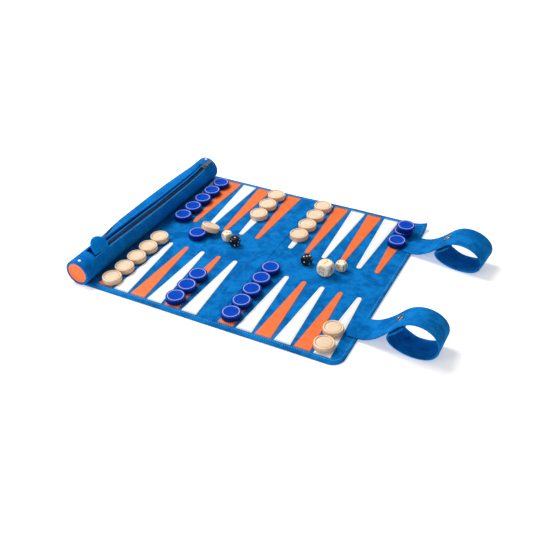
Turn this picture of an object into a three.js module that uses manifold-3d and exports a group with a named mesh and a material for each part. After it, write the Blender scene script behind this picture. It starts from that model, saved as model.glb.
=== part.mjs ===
// Roll-up backgammon set: a suede mat sewn to a round zipped case, two snap straps,
// checkers, dice and a doubling cube. Millimetres, +Z up, +X from the case to the straps,
// origin on the mat's underside at the middle of the board.
import * as THREE from 'three';
import { mergeVertices } from 'three/addons/utils/BufferGeometryUtils.js';
import Module from 'manifold-3d';

const wasm = await Module();
wasm.setup();

// ---- driving dimensions ----
const GAP = 0.3; // clearance between pieces that touch
const POINT_PITCH = 24.9; // spacing of the board's points
const BAR_EXTRA = 25.8; // extra spacing between points 6 and 7, where the bar runs
const MAT = { right: 175.5, front: -158.2, back: 155.5, corner: 16, backCorner: 3 };
const LINING_T = 1.0;
const SUEDE_T = 1.2;
const BOARD_TOP = LINING_T + GAP + SUEDE_T;

const CASE_R = 17.4; // outer radius of the case
const CASE_WALL = 1.8;
const CASE_LENGTH = 311;
const CASE_HALF = CASE_LENGTH / 2;
const CASE_X = -178.2;
const CASE_Y = -4.85;
const CASE_YAW = THREE.MathUtils.degToRad(-1.66); // the case lies slightly askew on its mat
const CASE_SIDES = 36;
const RIM_R = 14.3; // opening in each end ring, filled by an end disc
const RIM_T = 3;
const DISC_T = 2;
const DISC_INSET = 0.6;

// the zip's window, as x across the case and y along it, from the case's middle
const WINDOW = { front: 12.5, back: -11.6, near: -129.5, far: 136, nearBack: -3, nearFront: 11.5 };
const WINDOW_OPEN = { from: -72, to: 98, frontTo: 118 };
const WINDOW_TIP = { back: 5, front: 9 };
const TEETH_R = [14.2, 17.3];
const TAPE_R = [14.4, 15.2];
const FLAP_R = [13.0, 13.8];
const SLIDER = { y: 131.5, angle: 31, r: 17.8, width: 7, length: 10, plate: 1.8 };
const BRIDGE = { width: 1.4, length: 5, top: 4.4, window: 2.6, windowTop: 3.3 };
const PULL = {
  length: 17.5, width: 3.6, ring: 5.2, eye: 2.2, eyeFrom: 0.45, eyeTo: 3.4, thick: 1.0, z: 2.05,
};

const TAB = { width: 26, straight: 6.5, thick: 2, x: 10.1, z: 12.9, lean: -19.4, y: -115.3 };
const STUD = { radius: 2, height: 1.2, near: [-149.8, 10], far: [149.3, 5] };

const STRAP_T = 2;
const CROWN_X = 66.5; // from the hinge line out to the top of each loop
const LOOP_X = 95.5; // and to its outermost point
const HINGE_X = MAT.right + 0.35; // line along the mat's edge where the straps bend
const STRAP_Z = BOARD_TOP + GAP + STRAP_T / 2;
const SNAP_SPACING = 5; // between the centre lines of band and tail at the snap
// yaw in degrees; sewn is how far the sewn end reaches onto the mat
const STRAPS = [
  { name: 'front', y: -87.5, yaw: 0, width: 40, height: 46, sewn: 13.2 },
  { name: 'back', y: 103, yaw: -5.9, width: 41, height: 40.5, sewn: 9 },
];

const CHECKER_R = 12.5;
const CHECKER_T = 7.8;
const CHECKER_EDGE = 1.1;
const CHECKER_SIDES = 20;
const DIE_SIZE = 12;
const CUBE_SIZE = 17.5;
const BALL_RATIO = 1.35; // ball diameter over cube side, which rounds a die's corners

// ---- materials ----
const finish = (color, roughness, metalness = 0) =>
  () => new THREE.MeshStandardMaterial({ color, roughness, metalness });
const blueSuede = finish(0x0a67bd, 0.9);
const liningSuede = finish(0x0b4f94, 0.95);
const orangeLeather = finish(0xf47a3c, 0.55);
const zipDark = finish(0x3a3d48, 0.5, 0.2);
const zipMetal = finish(0x9a8478, 0.35, 0.9);
const nickel = finish(0xb9b9bd, 0.25, 1);
const whitePlastic = finish(0xf2f2ee, 0.4);
const paleWood = finish(0xe9cfa6, 0.5);
const blueGloss = finish(0x0b3fae, 0.2);
const blackGloss = finish(0x15130f, 0.2);
const paleGloss = finish(0xead9b6, 0.3);

// ---- helpers ----
const rad = THREE.MathUtils.degToRad;

function mesh(name, geometry, material) {
  const m = new THREE.Mesh(geometry, material());
  m.name = name;
  return m;
}

// closed geometry to manifold solid
function solid(geometry) {
  const g = geometry.clone();
  g.deleteAttribute('normal');
  g.deleteAttribute('uv');
  const merged = mergeVertices(g, 1e-4);
  return new wasm.Manifold(new wasm.Mesh({
    numProp: 3,
    vertProperties: new Float32Array(merged.attributes.position.array),
    triVerts: new Uint32Array(merged.index.array),
  }));
}

function fromSolid(manifold) {
  const { vertProperties, triVerts } = manifold.getMesh();
  const g = new THREE.BufferGeometry();
  g.setAttribute('position', new THREE.BufferAttribute(vertProperties, 3));
  g.setIndex(new THREE.BufferAttribute(triVerts, 1));
  return g;
}

// plan outline in x, y raised from z0 by height
function slab(shape, z0, height, curveSegments = 6) {
  const g = new THREE.ExtrudeGeometry(shape, { depth: height, bevelEnabled: false, curveSegments });
  return g.translate(0, 0, z0);
}

// side outline in x, z carried along y from y0 to y1
function bar(shape, y0, y1, curveSegments = 6) {
  const g = new THREE.ExtrudeGeometry(shape, { depth: y1 - y0, bevelEnabled: false, curveSegments });
  return g.rotateX(Math.PI / 2).translate(0, y1, 0);
}

// outline between two radii over a range of angles, angles measured from +Z towards +X
function arcPoints(radius, from, to, steps) {
  return Array.from({ length: steps + 1 }, (_, i) => {
    const a = rad(from + ((to - from) * i) / steps);
    return new THREE.Vector2(radius * Math.sin(a), radius * Math.cos(a));
  });
}

function lathe(profile, segments) {
  return new THREE.LatheGeometry(profile.map(([r, y]) => new THREE.Vector2(r, y)), segments);
}

// turned piece standing on +Z instead of +Y
function turned(profile, segments) {
  return lathe(profile, segments).rotateX(Math.PI / 2);
}

function pointX(column) {
  const half = (11 * POINT_PITCH + BAR_EXTRA) / 2;
  return (column - 1) * POINT_PITCH + (column > 6 ? BAR_EXTRA : 0) - half;
}

// ---- mat ----
// The mat runs tangentially under the case, so each layer stops where the case's round
// underside comes down to it.
function matOutline(topZ) {
  const reach = Math.sqrt(CASE_R ** 2 - (CASE_R - topZ - GAP) ** 2) + GAP;
  const left = (y) => CASE_X - (y - CASE_Y) * Math.tan(CASE_YAW) + reach;
  const s = new THREE.Shape();
  s.moveTo(left(MAT.front), MAT.front);
  s.lineTo(MAT.right - MAT.corner, MAT.front);
  s.absarc(MAT.right - MAT.corner, MAT.front + MAT.corner, MAT.corner, -Math.PI / 2, 0);
  s.lineTo(MAT.right, MAT.back - MAT.backCorner);
  s.absarc(MAT.right - MAT.backCorner, MAT.back - MAT.backCorner, MAT.backCorner, 0, Math.PI / 2);
  s.lineTo(left(MAT.back), MAT.back);
  return s;
}

function mat() {
  const suedeZ = LINING_T + GAP;
  return [
    mesh('mat_lining', slab(matOutline(LINING_T), 0, LINING_T), liningSuede),
    mesh('mat_top', slab(matOutline(BOARD_TOP), suedeZ, SUEDE_T), blueSuede),
  ];
}

// ---- case ----
function caseShell() {
  const inner = CASE_R - CASE_WALL;
  const rim = CASE_HALF - RIM_T;
  const wall = solid(lathe([
    [RIM_R, -CASE_HALF], [CASE_R, -CASE_HALF], [CASE_R, CASE_HALF], [RIM_R, CASE_HALF],
    [RIM_R, rim], [inner, rim], [inner, -rim], [RIM_R, -rim], [RIM_R, -CASE_HALF],
  ], CASE_SIDES));
  const outline = new THREE.Shape([
    [WINDOW.nearBack, WINDOW.near], [WINDOW.nearFront, WINDOW.near],
    [WINDOW.front, WINDOW_OPEN.from],
    [WINDOW.front, WINDOW_OPEN.frontTo], [WINDOW_TIP.front, WINDOW.far],
    [WINDOW_TIP.back, WINDOW.far], [WINDOW.back, WINDOW_OPEN.to],
    [WINDOW.back, WINDOW_OPEN.from],
  ].map(([x, y]) => new THREE.Vector2(x, y)));
  const cutter = solid(slab(outline, 2, CASE_R + 2));
  return mesh('case_shell', fromSolid(wall.subtract(cutter)), blueSuede);
}

function endDisc(name, side) {
  const r = RIM_R - GAP;
  const disc = lathe([[0, 0], [r, 0], [r, DISC_T - 0.6], [r - 0.9, DISC_T], [0, DISC_T]], CASE_SIDES);
  if (side < 0) disc.rotateZ(Math.PI);
  disc.translate(0, side * (CASE_HALF - DISC_INSET - DISC_T), 0);
  return mesh(name, disc, orangeLeather);
}

// one half of the zip: a tape under the window's edge with its row of teeth
function zipSide(name, tapeEdge, teethFrom, teethTo, y0, y1) {
  const outline = [
    ...arcPoints(TAPE_R[1], tapeEdge, teethFrom, 4),
    ...arcPoints(TEETH_R[1], teethFrom, teethTo, 1),
    ...arcPoints(TEETH_R[0], teethTo, teethFrom, 1),
    ...arcPoints(TAPE_R[0], teethFrom, tapeEdge, 4),
  ];
  return mesh(name, bar(new THREE.Shape(outline), y0, y1), zipDark);
}

// suede flap inside the case that shields the pieces from the zip
function innerFlap() {
  const outline = [...arcPoints(FLAP_R[1], -48, 0, 6), ...arcPoints(FLAP_R[0], 0, -48, 6)];
  return mesh('case_inner_flap', bar(new THREE.Shape(outline), -95, 125), blueSuede);
}

function caseStud(name, [y, angle]) {
  const { radius, height } = STUD;
  const g = turned([[0, 0], [radius, 0], [radius, height * 0.4], [radius * 0.6, height], [0, height]], 12);
  const m = mesh(name, g, whitePlastic);
  const r = CASE_R + GAP;
  m.position.set(r * Math.sin(rad(angle)), y, r * Math.cos(rad(angle)));
  m.rotation.y = rad(angle);
  return m;
}

// round grip tab whose base is held under the window's front edge
function caseTab() {
  const half = TAB.width / 2;
  const s = new THREE.Shape();
  s.moveTo(-half, 0);
  s.lineTo(half, 0);
  s.lineTo(half, TAB.straight);
  s.absarc(0, TAB.straight, half, 0, Math.PI);
  const g = slab(s, -TAB.thick / 2, TAB.thick, 7);
  g.rotateX(Math.PI / 2).rotateZ(Math.PI / 2);
  const m = mesh('case_tab', g, blueSuede);
  m.position.set(TAB.x, TAB.y, TAB.z);
  m.rotation.y = rad(TAB.lean);
  return m;
}

// ---- zip slider and pull, in a frame on the slider's underside ----
function zipSlider() {
  const { width, length, plate } = SLIDER;
  const w = width / 2;
  const l = length / 2;
  const s = new THREE.Shape([
    [-w, -l + 2], [-w + 1.5, -l], [w - 1.5, -l], [w, -l + 2],
    [w - 1, l - 1], [w - 2, l], [2 - w, l], [1 - w, l - 1],
  ].map(([x, y]) => new THREE.Vector2(x, y)));
  const body = solid(slab(s, 0, plate));
  const block = new THREE.BoxGeometry(BRIDGE.width, BRIDGE.length, BRIDGE.top - plate + 0.5);
  block.translate(0, 0, (BRIDGE.top + plate - 0.5) / 2);
  const hole = new THREE.BoxGeometry(BRIDGE.width * 2, BRIDGE.window, BRIDGE.windowTop - plate);
  hole.translate(0, 0, (BRIDGE.windowTop + plate) / 2);
  return mesh('zip_slider', fromSolid(body.add(solid(block)).subtract(solid(hole))), zipMetal);
}

function zipPull() {
  const half = PULL.width / 2;
  const ring = PULL.ring / 2;
  const s = new THREE.Shape();
  s.moveTo(-ring, -PULL.eyeFrom);
  s.lineTo(ring, -PULL.eyeFrom);
  s.lineTo(ring, PULL.eyeTo + 0.8);
  s.lineTo(half, PULL.eyeTo + 3);
  s.lineTo(half, PULL.length - half);
  s.absarc(0, PULL.length - half, half, 0, Math.PI);
  s.lineTo(-half, PULL.eyeTo + 3);
  s.lineTo(-ring, PULL.eyeTo + 0.8);
  const e = PULL.eye / 2;
  s.holes.push(new THREE.Path([
    new THREE.Vector2(-e, PULL.eyeFrom), new THREE.Vector2(-e, PULL.eyeTo),
    new THREE.Vector2(e, PULL.eyeTo), new THREE.Vector2(e, PULL.eyeFrom),
  ]));
  return mesh('zip_pull', slab(s, PULL.z, PULL.thick, 4), zipMetal);
}

function gameCase() {
  const group = new THREE.Group();
  group.position.set(CASE_X, CASE_Y, CASE_R);
  group.rotation.z = CASE_YAW;
  const slider = new THREE.Group();
  const a = rad(SLIDER.angle);
  slider.position.set(SLIDER.r * Math.sin(a), SLIDER.y, SLIDER.r * Math.cos(a));
  slider.rotation.y = a;
  slider.add(zipSlider(), zipPull());
  group.add(
    caseShell(),
    endDisc('case_disc_near', -1),
    endDisc('case_disc_far', 1),
    caseStud('case_stud_near', STUD.near),
    caseStud('case_stud_far', STUD.far),
    zipSide('zip_side_front', 58, 33, 27, -98, 132),
    zipSide('zip_side_back', -56, -38, -32, -68, 98),
    innerFlap(),
    caseTab(),
    slider,
  );
  return group;
}

// ---- straps, in a frame at the mat's edge: x outwards, z up ----
// Centre line of the band: flat off the mat, up to the snap, then over to the crown.
function strapCurves(height) {
  const crown = new THREE.Vector2(CROWN_X, height - STRAP_T / 2);
  const snap = new THREE.Vector2(43, 0.74 * height);
  const slope = Math.atan2(0.64 * height, 27);
  const along = new THREE.Vector2(Math.cos(slope), Math.sin(slope));
  const across = new THREE.Vector2(along.y, -along.x);
  const step = (p, d, k) => p.clone().addScaledVector(d, k);

  const band = new THREE.Path();
  band.moveTo(0.15, STRAP_Z);
  const rise = step(snap, along, -14);
  band.bezierCurveTo(18, STRAP_Z, rise.x, rise.y, snap.x, snap.y);
  const over = step(snap, along, 9);
  band.bezierCurveTo(over.x, over.y, crown.x - 9, crown.y, crown.x - 0.15, crown.y);

  const low = 0.3 + STRAP_T / 2;
  const out = new THREE.Vector2(LOOP_X, 0.46 * height);
  const turn = new THREE.Vector2(34.2, 0.39 * height);
  const meet = step(snap, across, SNAP_SPACING);
  const tail = new THREE.Path();
  tail.moveTo(crown.x + 0.15, crown.y);
  tail.bezierCurveTo(crown.x + 15, crown.y, out.x, out.y + 0.3 * height, out.x, out.y);
  tail.bezierCurveTo(out.x, low + 0.14 * height, LOOP_X - 10.5, low, CROWN_X, low);
  tail.bezierCurveTo(CROWN_X - 16.5, low, turn.x, turn.y - 8, turn.x, turn.y);
  const flat = step(meet, along, -4.6);
  const near = step(flat, along, -3);
  const tip = step(meet, along, 8);
  tail.bezierCurveTo(turn.x, turn.y + 3, near.x, near.y, flat.x, flat.y);
  tail.lineTo(tip.x, tip.y);
  return { band, tail, snap, meet, slope };
}

// strip of constant thickness along a side-view path
function ribbon(path, width, steps) {
  const points = path.getPoints(steps);
  const offset = (i, side) => {
    const before = points[Math.max(i - 1, 0)];
    const after = points[Math.min(i + 1, points.length - 1)];
    const d = after.clone().sub(before).normalize();
    return new THREE.Vector2(points[i].x - side * d.y, points[i].y + side * d.x);
  };
  const upper = points.map((_, i) => offset(i, STRAP_T / 2));
  const lower = points.map((_, i) => offset(i, -STRAP_T / 2)).reverse();
  return bar(new THREE.Shape([...upper, ...lower]), -width / 2, width / 2);
}

// ribbon with a round rivet hole through it at a point of its path
function ribbonWithHole(path, width, steps, at, slope) {
  const hole = new THREE.CylinderGeometry(2, 2, STRAP_T * 2, 12);
  hole.rotateX(Math.PI / 2).rotateY(-slope).translate(at.x, 0, at.y);
  return fromSolid(solid(ribbon(path, width, steps)).subtract(solid(hole)));
}

// Snap parts turned about an axis square to the strap; heights run from the band's outer face.
const CAP_PROFILE = [
  [0, 0.9], [2.2, 0.9], [2.6, 1.5], [4.2, 1.7], [5.2, 1.0], [5.2, 0.3], [1.6, 0.3], [1.6, -2.3],
  [4.2, -2.3], [4.2, -3.9], [2.9, -3.9], [2.9, -2.7], [0, -2.7],
];
const STUD_PROFILE = [
  [0, -3.0], [1.9, -3.0], [2.3, -3.4], [2.3, -4.2], [3.8, -4.2], [3.8, -4.7], [1.6, -4.7],
  [1.6, -7.3], [4.0, -7.3], [3.6, -8.1], [0, -8.1],
];

function snapPiece(name, profile, at, slope) {
  const m = mesh(name, turned([...profile].reverse(), 14), nickel);
  m.position.set(at.x - (STRAP_T / 2) * Math.sin(slope), 0, at.y + (STRAP_T / 2) * Math.cos(slope));
  m.rotation.y = -slope;
  return m;
}

function strap({ name, y, yaw, width, height, sewn: reach }) {
  const group = new THREE.Group();
  group.position.set(HINGE_X, y, 0);
  group.rotation.z = rad(yaw);
  const { band, tail, snap, meet, slope } = strapCurves(height);
  const sewn = new THREE.BoxGeometry(reach, width, STRAP_T);
  sewn.translate(-0.15 - reach / 2, 0, STRAP_Z);
  group.add(
    mesh(`${name}_strap_end`, sewn, blueSuede),
    mesh(`${name}_strap_band`, ribbonWithHole(band, width, 9, snap, slope), blueSuede),
    mesh(`${name}_strap_tail`, ribbonWithHole(tail, width, 8, meet, slope), blueSuede),
    snapPiece(`${name}_snap_cap`, CAP_PROFILE, snap, slope),
    snapPiece(`${name}_snap_stud`, STUD_PROFILE, snap, slope),
  );
  return group;
}

// ---- playing pieces ----
function checker(name, material, x, y, z = BOARD_TOP + GAP) {
  const r = CHECKER_R;
  const e = CHECKER_EDGE;
  const t = CHECKER_T;
  const g = turned([[0, 0], [r - e, 0], [r, e], [r, t - e], [r - e, t], [0, t]], CHECKER_SIDES);
  const m = mesh(name, g, material);
  m.position.set(x, y, z);
  return m;
}

// rows of checkers: column, side of the board, count, first y, spacing, x offset and drift
const ROWS = [
  { kind: 'pale', column: 1, side: -1, count: 5, first: 137.1, pitch: 26, dx: 3.2, drift: 0.9 },
  { kind: 'pale', column: 5, side: 1, count: 3, first: 135.3, pitch: 28.6, dx: 1.7, drift: 0.3 },
  { kind: 'pale', column: 7, side: 1, count: 4, first: 135.6, pitch: 27, dx: 0.6, drift: 0 },
  { kind: 'pale', column: 12, side: -1, count: 2, first: 135.6, pitch: 28.8, dx: -3.2, drift: -1.1 },
  { kind: 'blue', column: 1, side: 1, count: 5, first: 130.7, pitch: 25.5, dx: 9.8, drift: -0.9 },
  { kind: 'blue', column: 5, side: -1, count: 3, first: 136, pitch: 25.5, dx: -1.6, drift: 0.4 },
  { kind: 'blue', column: 7, side: -1, count: 5, first: 133.9, pitch: 25.5, dx: -0.5, drift: 0.3 },
  { kind: 'blue', column: 12, side: 1, count: 2, first: 121.8, pitch: 25.4, dx: 0.3, drift: 0.8 },
];
const STACKED = { x: 153.6, y: 124.2 }; // the one on top of its neighbour
const LOOSE = { x: -101, y: -3 };
const LEANING = { x: -90.1, y: 11.7, heading: 63, tilt: 25.5 };

function checkers() {
  const makers = { pale: paleWood, blue: blueGloss };
  const counts = { pale: 0, blue: 0 };
  const nextName = (kind) => {
    counts[kind] += 1;
    return `checker_${kind}_${String(counts[kind]).padStart(2, '0')}`;
  };
  const pieces = [];
  for (const { kind, column, side, count, first, pitch, dx, drift } of ROWS) {
    for (let i = 0; i < count; i += 1) {
      const x = pointX(column) + dx + drift * i;
      const y = side * (first - pitch * i);
      pieces.push(checker(nextName(kind), makers[kind], x, y));
    }
  }
  const onTop = BOARD_TOP + GAP + CHECKER_T + GAP;
  pieces.push(checker(nextName('blue'), blueGloss, STACKED.x, STACKED.y, onTop));
  pieces.push(checker(nextName('blue'), blueGloss, LOOSE.x, LOOSE.y));
  const lean = checker(nextName('pale'), paleWood, 0, 0, 0);
  const h = rad(LEANING.heading);
  const t = rad(LEANING.tilt);
  lean.position.set(
    LEANING.x,
    LEANING.y,
    BOARD_TOP + GAP + (CHECKER_R - CHECKER_EDGE) * Math.sin(t) + 0.1,
  );
  lean.quaternion.setFromAxisAngle(new THREE.Vector3(-Math.sin(h), Math.cos(h), 0), t);
  pieces.push(lean);
  return pieces;
}

// a cube whose corners are rounded off by a ball
function die(name, material, size, x, y, turn) {
  const ball = solid(new THREE.SphereGeometry((size * BALL_RATIO) / 2, 12, 8));
  const cube = solid(new THREE.BoxGeometry(size, size, size));
  const m = mesh(name, fromSolid(cube.intersect(ball)), material);
  m.position.set(x, y, BOARD_TOP + GAP + size / 2);
  m.rotation.z = rad(turn);
  return m;
}

function dice() {
  return [
    die('die_pale_1', paleGloss, DIE_SIZE, -60.2, 7.8, -32),
    die('die_black_1', blackGloss, DIE_SIZE, -44.6, 1.5, -1),
    die('die_black_2', blackGloss, DIE_SIZE, 60.8, 3.6, -9),
    die('doubling_cube', paleGloss, CUBE_SIZE, 91.6, -5.7, -9),
    die('die_pale_2', paleGloss, DIE_SIZE, 106.6, 10.4, -17),
  ];
}

// ---- assembly ----
const set = new THREE.Group();
set.add(...mat(), gameCase(), ...STRAPS.map(strap), ...checkers(), ...dice());

export default set;
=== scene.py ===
"""Roll-up backgammon set: suede mat with sewn points, zipped round case, two snap straps,
wooden and lacquered checkers, dice and a doubling cube. Metres, in the frame of the CAD model."""
import math

import bmesh
import bpy
import numpy as np
from mathutils import Matrix, Vector


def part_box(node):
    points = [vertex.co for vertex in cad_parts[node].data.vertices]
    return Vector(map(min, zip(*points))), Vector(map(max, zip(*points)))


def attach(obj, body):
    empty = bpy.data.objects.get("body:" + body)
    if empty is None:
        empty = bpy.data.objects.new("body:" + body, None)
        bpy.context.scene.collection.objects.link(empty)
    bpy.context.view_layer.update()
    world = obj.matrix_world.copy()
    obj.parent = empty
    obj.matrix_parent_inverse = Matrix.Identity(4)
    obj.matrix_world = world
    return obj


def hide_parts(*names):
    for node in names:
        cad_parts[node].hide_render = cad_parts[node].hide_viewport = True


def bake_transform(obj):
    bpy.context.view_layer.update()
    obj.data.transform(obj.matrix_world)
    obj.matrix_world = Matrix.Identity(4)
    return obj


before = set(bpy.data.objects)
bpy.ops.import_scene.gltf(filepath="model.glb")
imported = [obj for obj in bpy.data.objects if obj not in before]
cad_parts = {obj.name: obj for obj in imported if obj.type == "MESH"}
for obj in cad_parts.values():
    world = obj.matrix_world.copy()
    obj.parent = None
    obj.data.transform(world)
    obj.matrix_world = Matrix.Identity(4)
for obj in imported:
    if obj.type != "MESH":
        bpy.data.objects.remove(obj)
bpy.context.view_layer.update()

MM = 0.001

# ---------------------------------------------------------------- sizes, in millimetres
SURFACE = 2.1  # the suede's top surface
POINT_TOP = 2.76  # top of the sewn points
SUEDE_BOTTOM, LINING_TOP = 1.15, 1.05
MEETS_CASE = 2.6  # height at which the mat ends against the case
POINT_PITCH = 24.9
BAR_EXTRA = 25.8
BASE_Y = 150.0
BASE_HALF = 10.7
TIP_RADIUS = 3.5
MAT_RIGHT, MAT_FRONT, MAT_BACK = 175.5, -158.2, 155.5
MAT_CORNER = 16.0
HEM = 5.6  # width of the turned hem; SIDE_HEM on the right
SIDE_HEM = 4.2
HEM_ROWS = np.array([0, 0.35, 0.8, 1.5, 2.4, 3.2, 3.8, 4.4, 5.0, 5.6, 6.4])  # from a free edge inwards
SEAM_INSET = 1.9  # stitch line on the points

CASE_X, CASE_Y, CASE_R = -178.2, -4.85, 17.4
CASE_YAW = math.radians(-1.66)
CASE_HALF = 155.5
SWELL = 2.7
WINDOW_START, WINDOW_END = -129.5, 136.0
SEAM_ANGLE = 48.0
SEAM_LINE = ((-132, -100, -36, 9.5, 86.5, 115, 135), (43, 43, 49, 51, 50, 45, 43))  # y and angle

HINGE_X = 175.85
STRAPS = {
    "front": {"y": -87.5, "yaw": 0.0, "width": 40.0, "height": 46.0, "sewn": 13.2,
              "twist": -0.045, "reach": 94.0},
    "back": {"y": 103.0, "yaw": -5.9, "width": 41.0, "height": 40.5, "sewn": 9.0,
             "twist": 0.015, "reach": 95.5},
}
STRAP_T = 2.0
CROWN_X = 66.5
TAB_BASE = (10.1, -115.3, 13.2)  # middle of the grip tab's base, in the case's frame

CHECKER_R, CHECKER_T = 12.5, 7.8
DIE_SIZE, CUBE_SIZE = 12.0, 17.5


# ---------------------------------------------------------------- mesh helpers
def new_object(name, vertices, quads, triangles=(), sharp=40.0, masks=None):
    """Mesh from arrays of vertices (n, 3) in millimetres, quads (k, 4) and triangles (k, 3). Faces
    are turned round when the sum of their corner pyramids' volumes is negative, so they look out."""
    quads = np.asarray(quads, np.int32).reshape(-1, 4)
    triangles = np.asarray(triangles, np.int32).reshape(-1, 3)
    vertices = np.asarray(vertices, float) * MM
    fans = np.concatenate([quads[:, [0, 1, 2]], quads[:, [0, 2, 3]], triangles])
    p, q, r = (vertices[fans[:, k]] for k in range(3))
    if np.einsum("ij,ij->", p, np.cross(q, r)) < 0:
        quads, triangles = quads[:, ::-1], triangles[:, ::-1]
    mesh = bpy.data.meshes.new(name)
    mesh.vertices.add(len(vertices))
    mesh.vertices.foreach_set("co", vertices.astype(np.float32).ravel())
    loops = np.concatenate([quads.ravel(), triangles.ravel()])
    starts = np.concatenate([np.arange(len(quads)) * 4, quads.size + np.arange(len(triangles)) * 3])
    mesh.loops.add(len(loops))
    mesh.loops.foreach_set("vertex_index", loops)
    mesh.polygons.add(len(starts))
    mesh.polygons.foreach_set("loop_start", starts.astype(np.int32))
    mesh.update(calc_edges=True)
    mesh.validate()
    mesh.polygons.foreach_set("use_smooth", np.ones(len(mesh.polygons), bool))
    mesh.set_sharp_from_angle(angle=math.radians(sharp))
    for key, values in (masks or {}).items():
        layer = mesh.attributes.new(key, "FLOAT", "POINT")
        layer.data.foreach_set("value", np.asarray(values, np.float32).ravel())
    obj = bpy.data.objects.new(name, mesh)
    bpy.context.scene.collection.objects.link(obj)
    return obj


def shell_arrays(outer, inner, keep=None, wrap=False):
    """Closed skin between two grids (nu, nv, 3): the outer quads, the inner quads turned round and a
    wall along every edge of the kept cells. keep is a boolean (cells_u, cells_v); wrap joins u's ends."""
    nu, nv = outer.shape[:2]
    cells = (nu if wrap else nu - 1, nv - 1)
    keep = np.ones(cells, bool) if keep is None else keep
    i, j = np.nonzero(keep)
    at = lambda a, b: (a % nu) * nv + b
    a, b, c, d = at(i, j), at(i + 1, j), at(i + 1, j + 1), at(i, j + 1)
    count = nu * nv
    quads = [np.stack([a, b, c, d], 1), np.stack([a, d, c, b], 1) + count]
    padded = np.zeros((cells[0] + 2, cells[1] + 2), bool)
    padded[1:-1, 1:-1] = keep
    if wrap:
        padded[0, 1:-1], padded[-1, 1:-1] = keep[-1], keep[0]
    sides = ((a, b, 0, -1), (b, c, 1, 0), (c, d, 0, 1), (d, a, -1, 0))
    for p, q, di, dj in sides:
        open_edge = ~padded[i + 1 + di, j + 1 + dj]
        p, q = p[open_edge], q[open_edge]
        quads.append(np.stack([q, p, p + count, q + count], 1))
    quads = np.concatenate(quads)
    vertices = np.concatenate([outer.reshape(-1, 3), inner.reshape(-1, 3)])
    used, quads = np.unique(quads, return_inverse=True)
    return vertices[used], quads.reshape(-1, 4), used


def shell(name, outer, inner, keep=None, wrap=False, sharp=40.0, masks=None):
    """Object made from shell_arrays; masks are grids (nu, nv) stored as point attributes."""
    vertices, quads, used = shell_arrays(outer, inner, keep, wrap)
    doubled = {k: np.concatenate([m.ravel(), m.ravel()])[used] for k, m in (masks or {}).items()}
    return new_object(name, vertices, quads, sharp=sharp, masks=doubled)


def tube_arrays(rings):
    """Closed skin of rings (n_rings, n_round, 3): quads between neighbouring rings, and a fan of
    triangles to each end ring's mean point."""
    n, m = rings.shape[:2]
    i, j = np.meshgrid(np.arange(n - 1), np.arange(m), indexing="ij")
    k = (j + 1) % m
    quads = np.stack([i * m + j, i * m + k, (i + 1) * m + k, (i + 1) * m + j], -1).reshape(-1, 4)
    vertices = np.concatenate([rings.reshape(-1, 3), rings[[0, -1]].mean(axis=1)])
    r = np.arange(m)
    s = (r + 1) % m
    first = np.stack([s, r, np.full(m, n * m)], 1)
    last = np.stack([(n - 1) * m + r, (n - 1) * m + s, np.full(m, n * m + 1)], 1)
    return vertices, quads, np.concatenate([first, last])


def lathe_arrays(profile, segments):
    """Solid of revolution about Z: the profile (r, z) runs from the axis to the axis, bottom to top,
    and is turned through equal steps; each end is a fan to the axis."""
    profile = np.asarray(profile, float)
    turn = np.linspace(0, 2 * np.pi, segments, endpoint=False)
    r, z = profile[1:-1, 0][:, None], profile[1:-1, 1][:, None]
    rings = np.stack([r * np.cos(turn), r * np.sin(turn), z + 0 * turn], -1)
    vertices, quads, fans = tube_arrays(rings)
    vertices[-2] = (0, 0, profile[0, 1])
    vertices[-1] = (0, 0, profile[-1, 1])
    return vertices, quads, fans


def arc(cx, cy, radius, start, end, steps):
    """Points on a circle from start to end degrees."""
    t = np.radians(np.linspace(start, end, steps))
    return np.stack([cx + radius * np.cos(t), cy + radius * np.sin(t)], 1)


def place(vertices, matrix):
    """Millimetre vertices moved by a 4x4 numpy matrix."""
    return vertices @ matrix[:3, :3].T + matrix[:3, 3]


def turn_matrix(axis, degrees, at=(0, 0, 0)):
    """Rotation about one of x, y or z, then a move to a point, as 4x4."""
    m = np.array(Matrix.Rotation(math.radians(degrees), 4, axis.upper()))
    m[:3, 3] = at
    return m


def bezier(p0, p1, p2, p3, steps):
    """Points of a cubic Bezier curve, first point left out."""
    t = np.linspace(0, 1, steps + 1)[1:, None]
    p0, p1, p2, p3 = (np.asarray(p, float) for p in (p0, p1, p2, p3))
    return (1 - t) ** 3 * p0 + 3 * (1 - t) ** 2 * t * p1 + 3 * (1 - t) * t ** 2 * p2 + t ** 3 * p3


def spaced(path, step):
    """The same polyline with points at equal distances of about step."""
    path = np.asarray(path, float)
    length = np.concatenate([[0], np.cumsum(np.linalg.norm(np.diff(path, axis=0), axis=1))])
    n = max(int(round(length[-1] / step)), 2)
    at = np.linspace(0, length[-1], n + 1)
    return np.stack([np.interp(at, length, path[:, k]) for k in range(path.shape[1])], 1)


def smooth_noise(x, y, seed, size):
    """Soft unevenness: a sum of four plane waves of random direction, wavelength near size and phase."""
    rng = np.random.default_rng(seed)
    total = 0.0
    for _ in range(4):
        heading, phase = rng.uniform(0, 2 * np.pi, 2)
        wave = size * rng.uniform(0.8, 1.6)
        total = total + np.sin(2 * np.pi * (x * np.cos(heading) + y * np.sin(heading)) / wave + phase)
    return total / 4


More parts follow.
